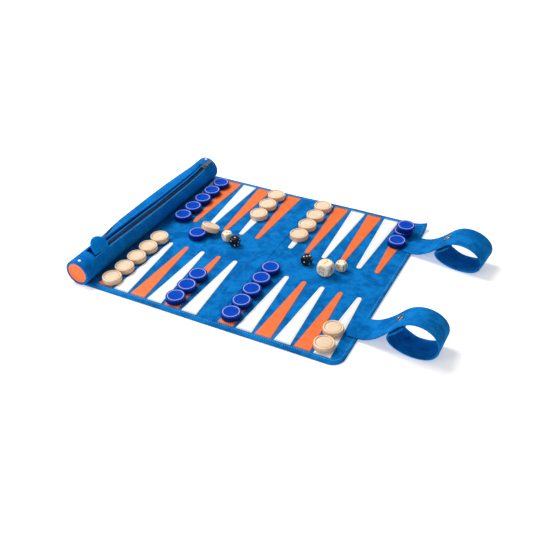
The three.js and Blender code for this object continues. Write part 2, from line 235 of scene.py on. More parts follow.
def stitch_arrays(path, normal, pitch=3.2, length=2.1, radius=0.28, rise=0.16):
    """Row of stitches along a 3D polyline. Each stitch is an eight-sided grain of rice: radius times
    the root of 1 - t^2 along its length, with its middle raised above the cloth by rise."""
    spots = spaced(path, pitch)
    centre = (spots[1:] + spots[:-1]) / 2
    along = spots[1:] - spots[:-1]
    along /= np.linalg.norm(along, axis=1)[:, None]
    up = np.broadcast_to(np.asarray(normal, float), centre.shape)
    if up.shape != centre.shape:
        up = np.resize(up, centre.shape)
    side = np.cross(up, along)
    side /= np.linalg.norm(side, axis=1)[:, None]
    t = np.linspace(-0.98, 0.98, 5)
    turn = np.linspace(0, 2 * np.pi, 6, endpoint=False)
    r = radius * np.sqrt(1 - t ** 2) + 0.03
    lift = rise * (1 - t ** 2)
    grid = (
        centre[:, None, None]
        + along[:, None, None] * (t * length / 2)[None, :, None, None]
        + side[:, None, None] * (r[:, None] * np.cos(turn))[None, :, :, None]
        + up[:, None, None] * (lift[:, None] + r[:, None] * np.sin(turn))[None, :, :, None]
    )
    one, quads, fans = tube_arrays(grid[0])
    parts = [tube_arrays(g)[0] for g in grid]
    offsets = (np.arange(len(parts)) * len(one))[:, None, None]
    all_quads = (quads[None] + offsets).reshape(-1, 4)
    return np.concatenate(parts), all_quads, (fans[None] + offsets).reshape(-1, 3)


def joined(parts):
    """Several (vertices, quads, triangles) as one."""
    vertices, quads, triangles, base = [], [], [], 0
    for v, q, t in parts:
        vertices.append(v)
        quads.append(np.asarray(q).reshape(-1, 4) + base)
        triangles.append(np.asarray(t, int).reshape(-1, 3) + base)
        base += len(v)
    return np.concatenate(vertices), np.concatenate(quads), np.concatenate(triangles)


def dress(obj, material, body="root", nodes=()):
    """Gives a piece its material and body, and the CAD nodes it stands for."""
    obj.data.materials.clear()
    obj.data.materials.append(material)
    if body:
        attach(obj, body)
    if nodes:
        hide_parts(*nodes)
    return obj


# ---------------------------------------------------------------- materials
def socket_group(name, inputs, outputs):
    """New shader node group with float or colour inputs and named outputs."""
    group = bpy.data.node_groups.new(name, "ShaderNodeTree")
    for key, kind, default in inputs:
        s = group.interface.new_socket(key, in_out="INPUT", socket_type=f"NodeSocket{kind}")
        if default is not None:
            s.default_value = default
    for key, kind in outputs:
        group.interface.new_socket(key, in_out="OUTPUT", socket_type=f"NodeSocket{kind}")
    return group, group.nodes.new("NodeGroupInput"), group.nodes.new("NodeGroupOutput")


def noise(tree, vector, scale, detail=2.0, rough=0.5, distortion=0.0):
    n = tree.nodes.new("ShaderNodeTexNoise")
    n.inputs["Scale"].default_value = scale
    n.inputs["Detail"].default_value = detail
    n.inputs["Roughness"].default_value = rough
    n.inputs["Distortion"].default_value = distortion
    tree.links.new(vector, n.inputs["Vector"])
    return n.outputs["Fac"]


def stretched(tree, vector, scale, turn=(0, 0, 0)):
    m = tree.nodes.new("ShaderNodeMapping")
    m.inputs["Scale"].default_value = scale
    m.inputs["Rotation"].default_value = turn
    tree.links.new(vector, m.inputs["Vector"])
    return m.outputs["Vector"]


def maths(tree, operation, a, b=None, clamp=False):
    n = tree.nodes.new("ShaderNodeMath")
    n.operation = operation
    n.use_clamp = clamp
    for k, value in enumerate((a, b)):
        if value is None:
            continue
        if isinstance(value, (int, float)):
            n.inputs[k].default_value = value
        else:
            tree.links.new(value, n.inputs[k])
    return n.outputs[0]


def mapped(tree, value, low, high, to_low=0.0, to_high=1.0):
    n = tree.nodes.new("ShaderNodeMapRange")
    n.interpolation_type = "SMOOTHSTEP"
    for key, v in zip(("From Min", "From Max", "To Min", "To Max"), (low, high, to_low, to_high)):
        n.inputs[key].default_value = v
    tree.links.new(value, n.inputs["Value"])
    return n.outputs["Result"]


def mixed(tree, fac, a, b):
    n = tree.nodes.new("ShaderNodeMix")
    n.data_type = "RGBA"
    if isinstance(fac, (int, float)):
        n.inputs["Factor"].default_value = fac
    else:
        tree.links.new(fac, n.inputs["Factor"])
    for key, value in (("A", a), ("B", b)):
        s = [i for i in n.inputs if i.name == key and i.type == "RGBA"][0]
        if isinstance(value, tuple):
            s.default_value = (*value[:3], 1.0)
        else:
            tree.links.new(value, s)
    return [o for o in n.outputs if o.type == "RGBA"][0]


def bumped(tree, height, distance, strength=1.0, normal=None):
    n = tree.nodes.new("ShaderNodeBump")
    n.inputs["Strength"].default_value = strength
    n.inputs["Distance"].default_value = distance
    tree.links.new(height, n.inputs["Height"])
    if normal is not None:
        tree.links.new(normal, n.inputs["Normal"])
    return n.outputs["Normal"]


def attribute(tree, name):
    n = tree.nodes.new("ShaderNodeAttribute")
    n.attribute_name = name
    return n.outputs["Fac"]


def suede_group():
    """Brushed nap: cloudy patches where the nap lies over, streaks along the brushing, short fibres
    as fine speckle. Out come a mottle mask, a fibre mask and a height."""
    group, start, end = socket_group(
        "suede_nap", [("Vector", "Vector", None)],
        [("Mottle", "Float"), ("Fibre", "Float"), ("Height", "Float")])
    v = start.outputs["Vector"]
    clouds = noise(group, v, 42.0, 3.0, 0.55, 0.6)
    patches = noise(group, v, 130.0, 3.0, 0.6, 0.3)
    streaks = noise(group, stretched(group, v, (60, 420, 60), (0, 0, 0.35)), 1.0, 2.0, 0.5)
    weighed = [maths(group, "MULTIPLY", layer, share)
               for layer, share in ((clouds, 0.5), (patches, 0.35), (streaks, 0.15))]
    total = maths(group, "ADD", maths(group, "ADD", weighed[0], weighed[1]), weighed[2])
    group.links.new(mapped(group, total, 0.40, 0.60), end.inputs["Mottle"])
    fibres = noise(group, v, 1500.0, 2.0, 0.7)
    group.links.new(fibres, end.inputs["Fibre"])
    height = maths(group, "ADD", fibres, maths(group, "MULTIPLY", noise(group, v, 420.0, 2.0), 0.6))
    group.links.new(height, end.inputs["Height"])
    return group


def grain_group():
    """Leather grain: rounded cells with creases between them, broken up by noise."""
    group, start, end = socket_group(
        "leather_grain", [("Vector", "Vector", None), ("Scale", "Float", 900.0)],
        [("Cells", "Float"), ("Tone", "Float")])
    v = start.outputs["Vector"]
    cells = group.nodes.new("ShaderNodeTexVoronoi")
    cells.feature = "DISTANCE_TO_EDGE"
    group.links.new(v, cells.inputs["Vector"])
    group.links.new(start.outputs["Scale"], cells.inputs["Scale"])
    crease = mapped(group, cells.outputs["Distance"], 0.0, 0.16)
    group.links.new(crease, end.inputs["Cells"])
    group.links.new(noise(group, v, 160.0, 3.0), end.inputs["Tone"])
    return group


GROUPS = {}


def placed(tree, name, maker, vector):
    if name not in GROUPS:
        GROUPS[name] = maker()
    n = tree.nodes.new("ShaderNodeGroup")
    n.node_tree = GROUPS[name]
    tree.links.new(vector, n.inputs["Vector"])
    return n


def blank(name, **values):
    """Principled material with constants on its own sockets; returns it with its tree, shader and
    object coordinates."""
    m = bpy.data.materials.new(name)
    m.use_nodes = True
    tree = m.node_tree
    shader = tree.nodes["Principled BSDF"]
    for key, value in values.items():
        shader.inputs[key.replace("_", " ")].default_value = value
    coords = tree.nodes.new("ShaderNodeTexCoord").outputs["Object"]
    return m, tree, shader, coords


def suede(name, dark, light, sheen=0.12):
    """Napped suede: colour runs from dark to light with the nap and the fibres."""
    m, tree, shader, coords = blank(
        name, Roughness=0.95, Sheen_Weight=sheen, Sheen_Roughness=0.5,
        Sheen_Tint=(0.05, 0.45, 1.0, 1.0), Specular_IOR_Level=0.03)
    nap = placed(tree, "suede_nap", suede_group, coords)
    colour = mixed(tree, nap.outputs["Mottle"], dark, light)
    speckle = mapped(tree, nap.outputs["Fibre"], 0.35, 0.75, 0.0, 0.5)
    colour = mixed(tree, speckle, colour, tuple(c * 1.15 for c in light))
    tree.links.new(colour, shader.inputs["Base Color"])
    tree.links.new(bumped(tree, nap.outputs["Height"], 0.00025, 0.7), shader.inputs["Normal"])
    return m


def leather(name, colour, deep, rough=0.5, scale=900.0, seam=False):
    """Smooth leather with fine grain; seam darkens the stitched line from the seam attribute and the
    outer edge from a second attribute: a dark raw leather edge, partly painted shade along the points'
    raised edges.
    """
    m, tree, shader, coords = blank(name, Roughness=rough, Specular_IOR_Level=0.4)
    grain = placed(tree, "leather_grain", grain_group, coords)
    grain.inputs["Scale"].default_value = scale
    tone = mapped(tree, grain.outputs["Tone"], 0.35, 0.7)
    base = mixed(tree, tone, colour, deep)
    crease = maths(tree, "SUBTRACT", 1.0, grain.outputs["Cells"])
    creased = mixed(tree, maths(tree, "MULTIPLY", crease, 0.35), base, tuple(c * 0.8 for c in deep))
    if seam:
        creased = mixed(tree, maths(tree, "MULTIPLY", attribute(tree, "seam"), 0.45), creased,
                        tuple(c * 0.6 for c in deep))
        # partly painted shade: darkens each point's outer edge, a dark raw leather edge that also stands
        # in for the shadow along the raised edge
        creased = mixed(tree, maths(tree, "MULTIPLY", attribute(tree, "cut_edge_shade"), 0.85), creased,
                        tuple(c * 0.3 for c in deep))
    tree.links.new(creased, shader.inputs["Base Color"])
    tree.links.new(bumped(tree, grain.outputs["Cells"], 0.00008, 0.6), shader.inputs["Normal"])
    return m


def thread(name, colour):
    m, tree, shader, coords = blank(name, Roughness=0.7, Sheen_Weight=0.2)
    fine = noise(tree, coords, 2600.0, 2.0)
    tree.links.new(mixed(tree, fine, colour, tuple(c * 0.7 for c in colour)), shader.inputs["Base Color"])
    return m


def metal(name, colour, rough):
    m, tree, shader, coords = blank(name, Metallic=1.0)
    wear = noise(tree, coords, 700.0, 4.0, 0.6)
    tree.links.new(mixed(tree, mapped(tree, wear, 0.4, 0.7), colour, tuple(c * 0.6 for c in colour)),
                   shader.inputs["Base Color"])
    tree.links.new(mapped(tree, wear, 0.3, 0.8, rough * 0.8, rough * 1.5), shader.inputs["Roughness"])
    return m


def wood(name, pale, dark):
    """Fine straight-grained wood: stretched noise for fibres and growth rings, tiny pores, satin."""
    m, tree, shader, coords = blank(name, Specular_IOR_Level=0.2)
    rings = noise(tree, stretched(tree, coords, (22, 320, 300), (0.1, 0.3, 0.7)), 1.0, 3.0, 0.55, 0.8)
    pores = noise(tree, stretched(tree, coords, (300, 2600, 2600), (0.1, 0.3, 0.7)), 1.0, 2.0, 0.6)
    patch = noise(tree, coords, 34.0, 2.0)
    base = mixed(tree, mapped(tree, rings, 0.35, 0.68), pale, dark)
    base = mixed(tree, mapped(tree, patch, 0.35, 0.7, 0.0, 0.4), base, tuple(c * 1.08 for c in dark))
    base = mixed(tree, mapped(tree, pores, 0.58, 0.75, 0.0, 0.3), base, tuple(c * 0.6 for c in dark))
    base = mixed(tree, maths(tree, "MULTIPLY", attribute(tree, "wall"), 0.4), base,
                 tuple(c * k for c, k in zip(dark, (0.85, 0.55, 0.42))))
    # painted shade: darkens the sunk channel inside the pale checkers' rim, where shade falls
    base = mixed(tree, maths(tree, "MULTIPLY", attribute(tree, "groove_shade"), 0.65), base,
                 tuple(c * k for c, k in zip(dark, (0.7, 0.55, 0.45))))
    tree.links.new(base, shader.inputs["Base Color"])
    tree.links.new(mapped(tree, pores, 0.3, 0.8, 0.38, 0.55), shader.inputs["Roughness"])
    tree.links.new(bumped(tree, pores, 0.00005, 0.5), shader.inputs["Normal"])
    return m


def lacquer(name, colour, deep, ring):
    """Glossy lacquer with an inlaid pale ring given by the ring attribute."""
    m, tree, shader, coords = blank(name, Specular_IOR_Level=0.3, IOR=1.18)
    cloud = noise(tree, coords, 90.0, 3.0)
    base = mixed(tree, mapped(tree, cloud, 0.35, 0.7), colour, deep)
    base = mixed(tree, attribute(tree, "wall"), base, tuple(c * 0.35 for c in deep))
    mask = attribute(tree, "ring")
    tree.links.new(mixed(tree, mask, base, ring), shader.inputs["Base Color"])
    fine = noise(tree, coords, 1200.0, 3.0)
    tree.links.new(mapped(tree, fine, 0.3, 0.8, 0.2, 0.32), shader.inputs["Roughness"])
    return m


def die_finish(name, colour, deep, paint, coat=0.2):
    """Polished dice resin; the pip attribute paints the dimples."""
    m, tree, shader, coords = blank(name, Coat_Weight=coat, Coat_Roughness=0.1, Specular_IOR_Level=0.3)
    cloud = noise(tree, coords, 220.0, 3.0)
    base = mixed(tree, mapped(tree, cloud, 0.35, 0.7), colour, deep)
    tree.links.new(mixed(tree, attribute(tree, "pip"), base, paint), shader.inputs["Base Color"])
    tree.links.new(mapped(tree, noise(tree, coords, 1500.0, 3.0), 0.3, 0.8, 0.2, 0.38),
                   shader.inputs["Roughness"])
    return m


def printed_ink(name, colour):
    m, tree, shader, coords = blank(name, Roughness=0.5)
    tree.links.new(mixed(tree, noise(tree, coords, 1800.0, 2.0), colour, tuple(c * 0.8 for c in colour)),
                   shader.inputs["Base Color"])
    return m


def woven(name, colour, light, scale=1600.0):
    """Zip tape: crossed waves of warp and weft."""
    m, tree, shader, coords = blank(name, Roughness=0.85, Sheen_Weight=0.15)
    weft = tree.nodes.new("ShaderNodeTexWave")
    weft.inputs["Scale"].default_value = scale / 6
    weft.bands_direction = "Y"
    tree.links.new(coords, weft.inputs["Vector"])
    warp = tree.nodes.new("ShaderNodeTexWave")
    warp.inputs["Scale"].default_value = scale / 6
    tree.links.new(coords, warp.inputs["Vector"])
    both = maths(tree, "MULTIPLY", weft.outputs["Fac"], warp.outputs["Fac"])
    tree.links.new(mixed(tree, both, colour, light), shader.inputs["Base Color"])
    tree.links.new(bumped(tree, both, 0.0001, 0.6), shader.inputs["Normal"])
    return m


BLUE = suede("blue_suede", (0.0, 0.092, 0.325), (0.004, 0.195, 0.575))
BLUE_CASE = suede("blue_case_suede", (0.0, 0.112, 0.40), (0.002, 0.175, 0.57))
# painted light: a lighter copy of the blue suede for the grip tab, whose face the key lamp leaves in
# shade, so it looks lit
BLUE_TAB_PAINTED_LIGHT = suede("tab_suede_painted_light", (0.0, 0.18, 0.60), (0.004, 0.29, 0.85))
BLUE_BACK = suede("backing_suede", (0.0, 0.06, 0.22), (0.0, 0.10, 0.34))
ORANGE = leather("orange_leather", (1.0, 0.18, 0.028), (0.94, 0.15, 0.018), 0.5, seam=True)
WHITE = leather("white_leather", (1.0, 1.0, 0.985), (0.96, 0.96, 0.94), 0.5, seam=True)
ORANGE_DISC = leather("orange_disc", (1.0, 0.19, 0.035), (0.92, 0.145, 0.02), 0.5)
STUD_WHITE = leather("white_stud", (0.92, 0.92, 0.9), (0.88, 0.88, 0.86), 0.35)
BLUE_THREAD = thread("blue_thread", (0.03, 0.30, 0.80))
BRIGHT_THREAD = thread("bright_thread", (0.09, 0.60, 1.0))
ORANGE_THREAD = thread("orange_thread", (1.0, 0.50, 0.26))
WHITE_THREAD = thread("white_thread", (0.9, 0.9, 0.87))
TAPE = woven("zip_tape", (0.0, 0.08, 0.28), (0.0, 0.14, 0.42))
TEETH = metal("zip_teeth", (0.085, 0.085, 0.12), 0.5)
ZIP_METAL = metal("zip_metal", (0.50, 0.40, 0.34), 0.35)
NICKEL = metal("nickel", (0.30, 0.29, 0.29), 0.34)
# painted shade: near-black metal for the disc in each snap ring's middle, standing for the shade of the
# ring's hole
HOLE_SHADE_METAL = metal("snap_hole_shade", (0.03, 0.028, 0.03), 0.5)
WOOD = wood("pale_wood", (0.93, 0.73, 0.52), (0.83, 0.61, 0.41))
LACQUER = lacquer("blue_lacquer", (0.0, 0.066, 0.53), (0.0, 0.056, 0.48), (0.60, 0.50, 0.49))
PALE_DIE = die_finish("pale_dice", (1.0, 0.88, 0.65), (0.95, 0.78, 0.50), (0.07, 0.03, 0.02))
BLACK_DIE = die_finish("black_dice", (0.009, 0.006, 0.004), (0.005, 0.003, 0.002),
                       (0.95, 0.93, 0.9), 0.02)
INKS = [printed_ink(f"cube_ink_{key}", colour) for key, colour in (
    ("dark", (0.05, 0.035, 0.03)), ("ochre", (0.70, 0.42, 0.10)), ("tan", (0.55, 0.42, 0.25)))]


# ---------------------------------------------------------------- mat
def case_edge(y, height):
    """x where the case's round underside comes down to a height above the table."""
    axis = CASE_X - (y - CASE_Y) * math.tan(CASE_YAW)
    return axis + np.sqrt(CASE_R ** 2 - (CASE_R - height) ** 2)


def mat_lift(x, y):
    """How far the mat stands off the table: a soft unevenness near its free edges, a low ridge along
    the back edge, and a curl at the far right corner that grows with the square of the distance
    past the line of the curl."""
    edge = np.minimum(np.minimum(y - MAT_FRONT, MAT_BACK - y), MAT_RIGHT - x)
    wave = 0.35 * (1 + smooth_noise(x, y, 3, 120.0)) * np.exp(-np.maximum(edge, 0) / 25.0)
    corner = np.maximum((x - 150.0) / 25.5 + (y - 133.0) / 22.5 - 1.05, 0)
    back = 1.5 * np.clip((x + 20) / 90, 0, 1) * np.exp(-(((MAT_BACK - y) / 8.0) ** 2))
    return wave + back + 7.0 * corner ** 2


def mat_grid():
    """Plan of the mat: rows across x between the case and the right edge, whose two corners are
    rounded; rows are closer together along the hems."""
    v = np.concatenate([
        MAT_FRONT + HEM_ROWS, np.linspace(MAT_FRONT + 8, MAT_BACK - 8, 118), MAT_BACK - HEM_ROWS[::-1]])
    y = v[None, :]

    def inset(radius, distance):
        d = np.clip(radius - distance, 0, radius)
        return radius - np.sqrt(radius ** 2 - d ** 2)

    right = MAT_RIGHT - inset(MAT_CORNER, y - MAT_FRONT) - inset(3.0, MAT_BACK - y)
    left = case_edge(y, MEETS_CASE)
    u = np.linspace(0, 1, 130)[:, None]
    main = left + (right - 8 - left) * u
    tail = right - HEM_ROWS[::-1][:, None]
    x = np.concatenate([main, tail])
    return x, np.broadcast_to(y, x.shape)


def hem_profile(d):
    """Height of the turned hem above the suede at distance d from the edge: rounded outer edge,
    crown, and a dip along the stitch line at HEM."""
    crown = 0.6 * np.clip(1 - (d / HEM) ** 6, 0, 1)
    outer = -1.0 * np.clip(1 - d / 1.2, 0, 1) ** 2
    dip = -0.35 * np.exp(-(((d - HEM) / 0.7) ** 2))
    return crown + outer + dip


def edge_distance(x, y):
    """Distance from the mat's free edges, measured round the front right corner's centre."""
    right, front, back = (MAT_RIGHT - x) * HEM / SIDE_HEM, y - MAT_FRONT, MAT_BACK - y
    d = np.minimum(np.minimum(right, front), back)
    across, up = MAT_RIGHT - x, front
    corner = (across < MAT_CORNER) & (up < MAT_CORNER)
    heading = np.arctan2(MAT_CORNER - up, MAT_CORNER - across) / (np.pi / 2)
    width = SIDE_HEM + (HEM - SIDE_HEM) * np.clip(heading, 0, 1)
    round_d = (MAT_CORNER - np.hypot(MAT_CORNER - across, MAT_CORNER - up)) * HEM / width
    return np.maximum(np.where(corner, round_d, d), 0)


def build_mat():
    """Suede over its lining. The lining runs on under the case, where its top follows the case's
    round underside."""
    x, y = mat_grid()
    d = edge_distance(x, y)
    lift = mat_lift(x, y)
    fine = 0.05 * smooth_noise(x, y, 11, 26.0)
    top = SURFACE + hem_profile(d) + fine + lift
    bottom = SUEDE_BOTTOM + lift + 0 * x
    outer = np.stack([x, y, np.maximum(top, bottom + 0.3)], -1)
    inner = np.stack([x, y, bottom], -1)
    suede_top = dress(shell("mat_suede", outer, inner), BLUE, nodes=["mat_top"])
    axis = CASE_X - (y - CASE_Y) * math.tan(CASE_YAW)
    left = case_edge(y, MEETS_CASE)
    bx = x - (left - axis - 4.0) * np.clip(1 - (x - left) / 20, 0, 1)
    across = np.clip(bx - axis, 0, CASE_R)
    underside = CASE_R - np.sqrt(CASE_R ** 2 - across ** 2)
    under_case = np.where(across < 12, underside - 0.1, 9.0)
    lining_top = np.minimum(LINING_TOP + lift, under_case + lift)
    lining = shell("mat_backing", np.stack([bx, y, lining_top], -1),
                   np.stack([bx, y, lift + 0 * x], -1))
    dress(lining, BLUE_BACK, nodes=["mat_lining"])
    inset, side = HEM - 0.5, SIDE_HEM - 0.4
    turn = np.radians(np.linspace(-90, 0, 7))
    reach = MAT_CORNER - inset + (inset - side) * np.linspace(0, 1, 7)
    corner = np.column_stack([MAT_RIGHT - MAT_CORNER + reach * np.cos(turn),
                              MAT_FRONT + MAT_CORNER + reach * np.sin(turn)])
    run = [(-160.0, MAT_FRONT + inset)]
    run += [tuple(p) for p in corner] + [(MAT_RIGHT - side, MAT_BACK - inset), (-150.0, MAT_BACK - inset)]
    path = spaced(np.array(run), 1.6)
    z = SURFACE + 0.45 + mat_lift(path[:, 0], path[:, 1])
    row = stitch_arrays(np.column_stack([path, z]), (0, 0, 1), 3.0, 2.2, 0.34)
    dress(new_object("mat_stitching", *row), BRIGHT_THREAD)


def point_x(column):
    half = (11 * POINT_PITCH + BAR_EXTRA) / 2
    return (column - 1) * POINT_PITCH + (BAR_EXTRA if column > 6 else 0) - half


def tip_y(side, column):
    """How far each point's tip stays from the middle line: the right half's points sit a little
    nearer the front."""
    drift = np.clip((column - 6) / 5, 0, 1)
    return 26.8 - 4.2 * drift if side > 0 else 30.8 + 2.4 * drift


def point_plan(side, column, inset=0.0):
    """Half outline of one point as (half width, y): straight from the base to the tip's circle,
    then round to the middle."""
    tip = tip_y(side, column) + TIP_RADIUS
    slope = (BASE_HALF - TIP_RADIUS) / (BASE_Y - tip)
    round_tip = tip - TIP_RADIUS * np.sin(np.radians(np.linspace(6, 90, 14)))
    y = np.concatenate([np.linspace(BASE_Y, tip, 46), round_tip])
    across = np.where(y >= tip, TIP_RADIUS + slope * (y - tip),
                      np.sqrt(np.maximum(TIP_RADIUS ** 2 - (tip - y) ** 2, 1e-4)))
    return np.maximum(across - inset, 0.02), y


def build_points():
    """Each point is a thin crowned sheet: across its width it rises over a rounded edge, dips along
    the stitch line two millimetres in, and is flat between."""
    c = np.concatenate([-np.array([1, 0.985, 0.94, 0.86, 0.78, 0.7, 0.5, 0.25]), [0],
                        np.array([0.25, 0.5, 0.7, 0.78, 0.86, 0.94, 0.985, 1])])
    colours = {0: (ORANGE, ORANGE_THREAD, "orange_leather"), 1: (WHITE, WHITE_THREAD, "white_leather")}
    for side in (-1, 1):
        for column in range(1, 13):
            kind = (column + (1 if side < 0 else 0)) % 2
            material, thread_material, slot = colours[kind]
            half, y = point_plan(side, column)
            x0 = point_x(column)
            x = x0 + half[:, None] * c[None, :]
            yy = np.broadcast_to((side * y)[:, None], x.shape)
            from_edge = np.minimum(half[:, None] * (1 - np.abs(c))[None, :],
                                   np.abs(BASE_Y - y)[:, None])
            rise = POINT_TOP - SURFACE
            seam = np.exp(-(((from_edge - SEAM_INSET) / 0.45) ** 2))
            height = rise * np.clip(from_edge / 0.5, 0, 1) ** 0.5 - 0.12 * seam
            lift = mat_lift(x, yy)
            outer = np.stack([x, yy, SURFACE + 0.02 + height + lift], -1)
            inner = np.stack([x, yy, SURFACE - 0.35 + lift], -1)
            # edge mask: dark raw leather edge, and also painted shade along the point's raised edge
            cut_edge_shade = np.exp(-((from_edge / 0.35) ** 2))
            if side < 0:
                outer, inner, seam, cut_edge_shade = (grid[::-1] for grid in (outer, inner, seam, cut_edge_shade))
            name = f"point_{'front' if side < 0 else 'back'}_{column:02d}"
            dress(shell(name, outer, inner, masks={"seam": seam, "cut_edge_shade": cut_edge_shade}), material)
            h, line = point_plan(side, column, SEAM_INSET)
            h, line = h[h > 0.4], line[h > 0.4]
            left = np.column_stack([x0 - h, side * line])
            right = np.column_stack([x0 + h, side * line])[::-1]
            inner_base = side * (BASE_Y - SEAM_INSET)
            run = np.concatenate([left[2:], right[:-2]])
            near, far = [run[0, 0], inner_base], [run[-1, 0], inner_base]
            run = np.concatenate([[near], run, [far, near]])
            z = POINT_TOP - 0.16 + mat_lift(run[:, 0], run[:, 1])
            row = stitch_arrays(np.column_stack([run, z]), (0, 0, 1), 3.0, 2.3, 0.27, 0.12)
            dress(new_object(name + "_stitching", *row), thread_material)


def build_bar():
    """Strip down the middle: its left edge is sewn flat, its right edge stands up as a folded step."""
    y = np.linspace(MAT_FRONT + HEM + 0.8, MAT_BACK - HEM - 0.8, 150)
    x = np.array([-12.0, -11.6, -11.0, -10.0, -8.0, -4.0, 0.0, 4.0, 7.5, 9.0, 9.7, 10.0])
    h = np.array([0.0, 0.18, 0.26, 0.14, 0.28, 0.3, 0.3, 0.32, 0.45, 0.55, 0.45, 0.0])
    gx, gy = np.meshgrid(x, y, indexing="ij")
    top = SURFACE + h[:, None] + 0.04 * smooth_noise(gx, gy, 8, 40)
    outer = np.stack([gx, gy, top], -1)
    inner = np.stack([gx, gy, np.full_like(gx, SURFACE - 0.4)], -1)
    dress(shell("bar_strip", outer, inner), BLUE)
    path = np.column_stack([np.full(60, -10.2), np.linspace(y[0] + 2, y[-1] - 2, 60),
                            np.full(60, SURFACE + 0.1)])
    row = stitch_arrays(path, (0, 0, 1), 3.4, 2.3, 0.2)
    dress(new_object("bar_stitching", *row), BLUE_THREAD)


# ---------------------------------------------------------------- case
CASE = turn_matrix("z", math.degrees(CASE_YAW), (CASE_X, CASE_Y, CASE_R))


def case_point(radius, angle, y):
    """Point at a radius and an angle from the top towards the board, y along the case. The soft wall
    swells over the back of the opening: a bell curve over the angle, tapering to nothing lengthwise."""
    a = np.radians(angle)
    turn = (np.asarray(angle) + 180) % 360 - 180
    length = np.interp(y, [-92, -62, -45, 20, 62, 96, 126], [0, 0.6, 1, 1, 0.75, 0.3, 0])
    radius = radius + SWELL * np.exp(-(((turn + 50) / 38) ** 2)) * length
    local = np.stack(np.broadcast_arrays(radius * np.sin(a), y, radius * np.cos(a)), -1)
    return local @ CASE[:3, :3].T + CASE[:3, 3]


def window_edges(y):
    """Angles of the window's back and front edges at y: the back edge opens from the near end to its
    widest and both run together at the far end."""
    back = np.interp(y, [-129.5, -120, -104, -92, -80, -66, 92, 112, 126, 136],
                     [-15, -16, -14, -12, -30, -44, -46, -30, -2, 17])
    front = np.interp(y, [-129.5, -102, -97, -36, 10, 86, 116, 128, 136],
                      [40.5, 40.5, 38.5, 42, 46, 46, 43, 39, 31])
    return back, front


def build_case():
    """Suede wrapped round the case: a grid of angles and lengths whose columns follow the window's
    edges, with the window's cells left out. The hem round the window is a little proud, and the end
    rims are rolled over."""
    y = np.unique(np.concatenate([
        np.array([-155.5, -155.3, -154.7, -153.9, -153, -151.8, -151.2, -150.4]),
        np.linspace(-149, 149, 150),
        np.array([150.4, 151.2, 151.8, 153, 153.9, 154.7, 155.3, 155.5]), [WINDOW_START, WINDOW_END]]))
    back, front = window_edges(y)
    t_open = np.linspace(0, 1, 15)
    t_wall = np.concatenate([[0, 0.006, 0.014, 0.024, 0.036, 0.05], np.linspace(0.07, 0.93, 60),
                             [0.95, 0.964, 0.976, 0.986, 0.994, 1]])
    inside = back[None] + (front - back)[None] * t_open[:, None]
    outside = front[None] + (back + 360 - front)[None] * t_wall[1:-1, None]
    angle = np.concatenate([inside, outside])
    n_open = len(t_open) - 1
    yy = np.broadcast_to(y, angle.shape)
    in_window = (y >= WINDOW_START) & (y <= WINDOW_END)
    edge = np.minimum(outside - front[None], back[None] + 360 - outside) * np.pi / 180 * CASE_R
    edge = np.concatenate([np.full(inside.shape, 99.0), edge])
    edge = np.where(in_window[None], edge, 99.0)
    end_gap = CASE_HALF - np.abs(yy)
    radius = CASE_R + 0.25 * np.exp(-((edge / 4.5) ** 4)) - 0.25 * np.exp(-(((edge - 3.6) / 0.6) ** 2))
    rim_seam = 0.22 * np.exp(-(((end_gap - 4.3) / 0.6) ** 2))
    radius = radius - 1.0 * np.clip(1 - end_gap / 1.2, 0, 1) ** 2 - rim_seam
    radius = radius + 0.12 * smooth_noise(angle, yy, 5, 70.0)
    keep = np.ones((angle.shape[0], len(y) - 1), bool)
    keep[:n_open][:, in_window[:-1] & in_window[1:]] = False
    outer = case_point(radius, angle, yy)
    wall = np.where(end_gap < 2.9, CASE_R - 14.4, 1.6)
    inner = case_point(np.minimum(radius - 0.4, CASE_R - wall), angle, yy)
    vertices, quads, _ = shell_arrays(outer, inner, keep, wrap=True)
    dress(new_object("case_suede", vertices, quads), BLUE_CASE, nodes=["case_shell"])

    rows = []
    run = np.linspace(-130, 130, 130)
    normal = lambda a: case_point(1.0, a, 0.0) - case_point(0.0, a, 0.0)
    seam = np.interp(run, SEAM_LINE[0], SEAM_LINE[1])
    front_row = stitch_arrays(case_point(CASE_R + 0.12, seam, run), normal(SEAM_ANGLE),
                              2.6, 1.9, 0.36)
    dress(new_object("case_seam", *front_row), BRIGHT_THREAD)
    across = np.linspace(-12, SEAM_ANGLE, 24)
    for place_y in (-133.2, 138.5):
        path = case_point(CASE_R + 0.05, across, np.full(24, place_y))
        rows.append(stitch_arrays(path, normal(20), 3.0, 2.0, 0.26))
    for end in (-1, 1):
        ring = np.linspace(0, 360, 90)
        path = case_point(CASE_R - 0.15, ring, end * (CASE_HALF - 4.3))
        spots = spaced(path, 3.0)
        centre = (spots[1:] + spots[:-1]) / 2
        up = centre - case_point(0.0, 0.0, end * (CASE_HALF - 4.3))
        up /= np.linalg.norm(up, axis=1)[:, None]
        rows.append(stitch_arrays(path, up, 3.0, 2.0, 0.24))
    dress(new_object("case_stitching", *joined(rows)), BLUE_THREAD)


def build_discs():
    """Orange end discs: flat face inside a raised rounded rim, with a shallow ring pressed in."""
    profile = np.concatenate([
        [[0, -2.0], [13.9, -2.0], [13.9, -0.7]], arc(13.2, 0.0, 0.95, -30, 110, 9),
        [[12.1, 0.55], [11.3, 0.1], [10.5, -0.1], [6.0, 0.1], [0, 0.25]],
    ])
    for name, side in (("near", -1), ("far", 1)):
        v, q, t = lathe_arrays(profile, 72)
        v = np.column_stack([v[:, 0], side * v[:, 2], -side * v[:, 1]])
        v = v + [0, side * (CASE_HALF - 1.3), 0]
        piece = new_object(f"case_end_{name}", place(v, CASE), q, t)
        dress(piece, ORANGE_DISC, nodes=[f"case_disc_{name}"])


